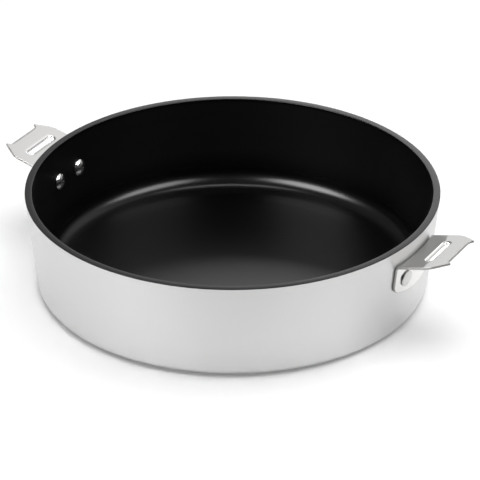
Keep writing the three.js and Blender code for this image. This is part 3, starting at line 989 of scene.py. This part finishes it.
def white_paper():
    """White paper with a little white of its own, which the camera, mirrors and glass see."""
    material, tree, shader = new_finish("white_paper")
    own = between(tree, seen_directly(tree), (0, PAPER_OWN_WHITE))
    shader.inputs["Base Color"].default_value = linear("#f4f4f4")
    shader.inputs["Roughness"].default_value = 1.0
    shader.inputs["Specular IOR Level"].default_value = 0.0
    shader.inputs["Emission Color"].default_value = linear("#ffffff")
    tree.links.new(own, shader.inputs["Emission Strength"])
    return material


corners = [
    -PAPER_SIDE * RIGHT - PAPER_FRONT * AWAY,
    PAPER_SIDE * RIGHT - PAPER_FRONT * AWAY,
    PAPER_SIDE * RIGHT + PAPER_BACK * AWAY,
    -PAPER_SIDE * RIGHT + PAPER_BACK * AWAY,
]
floor_mesh = bpy.data.meshes.new("studio_floor")
floor_mesh.from_pydata(corners, [], [[0, 1, 2, 3]])
floor_mesh.materials.append(white_paper())
floor = bpy.data.objects.new("studio_floor", floor_mesh)
bpy.context.scene.collection.objects.link(floor)
print("paper reaches", PAPER_FRONT, "m in front of the pan's middle")

# %% [markdown]
# ## Surroundings
# Metal shows what stands round it, so the room is drawn as well. On the camera's side it is dark. Behind
# the pan is a pale backdrop: bright straight behind it near the table, and higher up dim on the left and
# bright on the right. Everything else is a dim grey. How bright a direction is comes from how far it
# points away from the camera, to the right and up. To the camera itself all of it is plain white.

# %% World
ROOM_DARK = 0.05
BACKDROP_LEFT = 0.25
BACKDROP_RIGHT = 1.2
BACKDROP_BEHIND = 0.85
BACKDROP_DIM = 0.3
# Each pair is a direction's share along an axis: where a part of the room begins and where it is full.
AWAY_BEGINS = (-0.15, 0.45)
RIGHT_BEGINS = (-0.05, 0.3)
HIGH_BEGINS = (0.32, 0.52)
BEHIND_BEGINS = (0.75, 0.95)
LOW_BEGINS = (-0.6, -0.48)


def share_along(tree, place, axis, limits):
    """A smooth step of a direction's share along an axis, from 0 to 1 between two limits."""
    share = {0: place, 1: axis}
    share = add_node(tree, "ShaderNodeVectorMath", share, operation="DOT_PRODUCT").outputs["Value"]
    step = {"Value": share, "From Min": limits[0], "From Max": limits[1]}
    return add_node(tree, "ShaderNodeMapRange", step, interpolation_type="SMOOTHSTEP").outputs["Result"]


def backdrop_level(tree, place):
    """Brightness of a direction behind the pan: the greatest of the high part, the part straight behind and
    the dim grey."""
    high = share_along(tree, place, RIGHT, RIGHT_BEGINS)
    high = between(tree, high, (BACKDROP_LEFT, BACKDROP_RIGHT))
    high = calculate(tree, "MULTIPLY", high, share_along(tree, place, UP, HIGH_BEGINS))
    behind = share_along(tree, place, AWAY, BEHIND_BEGINS)
    behind = calculate(tree, "MULTIPLY", behind, share_along(tree, place, -UP, LOW_BEGINS))
    behind = calculate(tree, "MULTIPLY", behind, BACKDROP_BEHIND)
    level = calculate(tree, "MAXIMUM", high, behind)
    return calculate(tree, "MAXIMUM", level, BACKDROP_DIM)


def white_studio():
    """A world that is white to the camera and the room to everything else."""
    world = bpy.data.worlds.new("white_studio")
    world.use_nodes = True
    tree = world.node_tree
    place = add_node(tree, "ShaderNodeTexCoord").outputs["Generated"]
    away = share_along(tree, place, AWAY, AWAY_BEGINS)
    room = between(tree, away, (ROOM_DARK, backdrop_level(tree, place)))
    camera_ray = add_node(tree, "ShaderNodeLightPath").outputs["Is Camera Ray"]
    background = tree.nodes["Background"]
    background.inputs["Color"].default_value = linear("#ffffff")
    tree.links.new(between(tree, camera_ray, (room, 1.0)), background.inputs["Strength"])
    return world


bpy.context.scene.world = white_studio()
print("world:", bpy.context.scene.world.name)

# %% [markdown]
# ## Lights
# Black paint mirrors only a few hundredths of what it faces, so the lamps that draw its highlights are
# many times brighter than white. Two oval soft boxes stand on the camera's side, a bright one to the left
# and a weaker one to the right, and a narrow strip hangs over the pan, a little behind it. Their images
# are the long highlights in the hollow corner. A low panel behind the pan gives the near part of the
# floor a grey sheen. Such lamps would burn out any dull surface, so they show in reflections only. What
# is dull is lit by a wide, soft ceiling at a plain level, at which white paper comes out white, and that
# light keeps the shadow close round the pan. A light is described by what the pan sees of it: its
# direction, its size and its brightness as a multiple of white. Its power then follows, because a flat
# light of area A and power P has the brightness P / (pi A).

# %% Lights
LIGHT_DISTANCE = 2.6
CEILING_DISTANCE = 8.0
PAN_MIDDLE = Vector((0, 0, HEIGHT * MM / 2))


def soft_box(name, turn, height, half_width, half_height, brightness, distance=LIGHT_DISTANCE):
    """An oval light that faces the pan. Its direction and half sizes are angles in degrees, its brightness
    is a multiple of white and its distance is in metres."""
    data = bpy.data.lights.new(name, "AREA")
    data.shape = "ELLIPSE"
    data.size, data.size_y = 2 * distance * np.tan(np.radians([half_width, half_height]))
    area = np.pi / 4 * data.size * data.size_y
    data.energy = brightness * np.pi * area
    box = bpy.data.objects.new(name, data)
    box.location = PAN_MIDDLE + direction(turn, height) * distance
    box.rotation_euler = (PAN_MIDDLE - box.location).to_track_quat("-Z", "Y").to_euler()
    bpy.context.scene.collection.objects.link(box)
    print(f"{name}: {data.size:.2f} x {data.size_y:.2f} m, {data.energy:.2f} W")
    return box


# Each light: its turn and height, half its width and height, and its brightness.
mirrored = [
    soft_box("left_soft_box", -122, 45, 21.5, 14, 18.5),
    soft_box("right_soft_box", 118, 47, 23, 11.5, 12.0),
    soft_box("overhead_strip", 0, 78.5, 14, 5, 7.3),
    soft_box("back_panel", 9, 25, 13.5, 4.5, 2.6),
]
for box in mirrored:
    box.visible_diffuse = False
ceiling = soft_box("ceiling", 95, 82, 26, 26, 3.7, CEILING_DISTANCE)
ceiling.visible_glossy = False
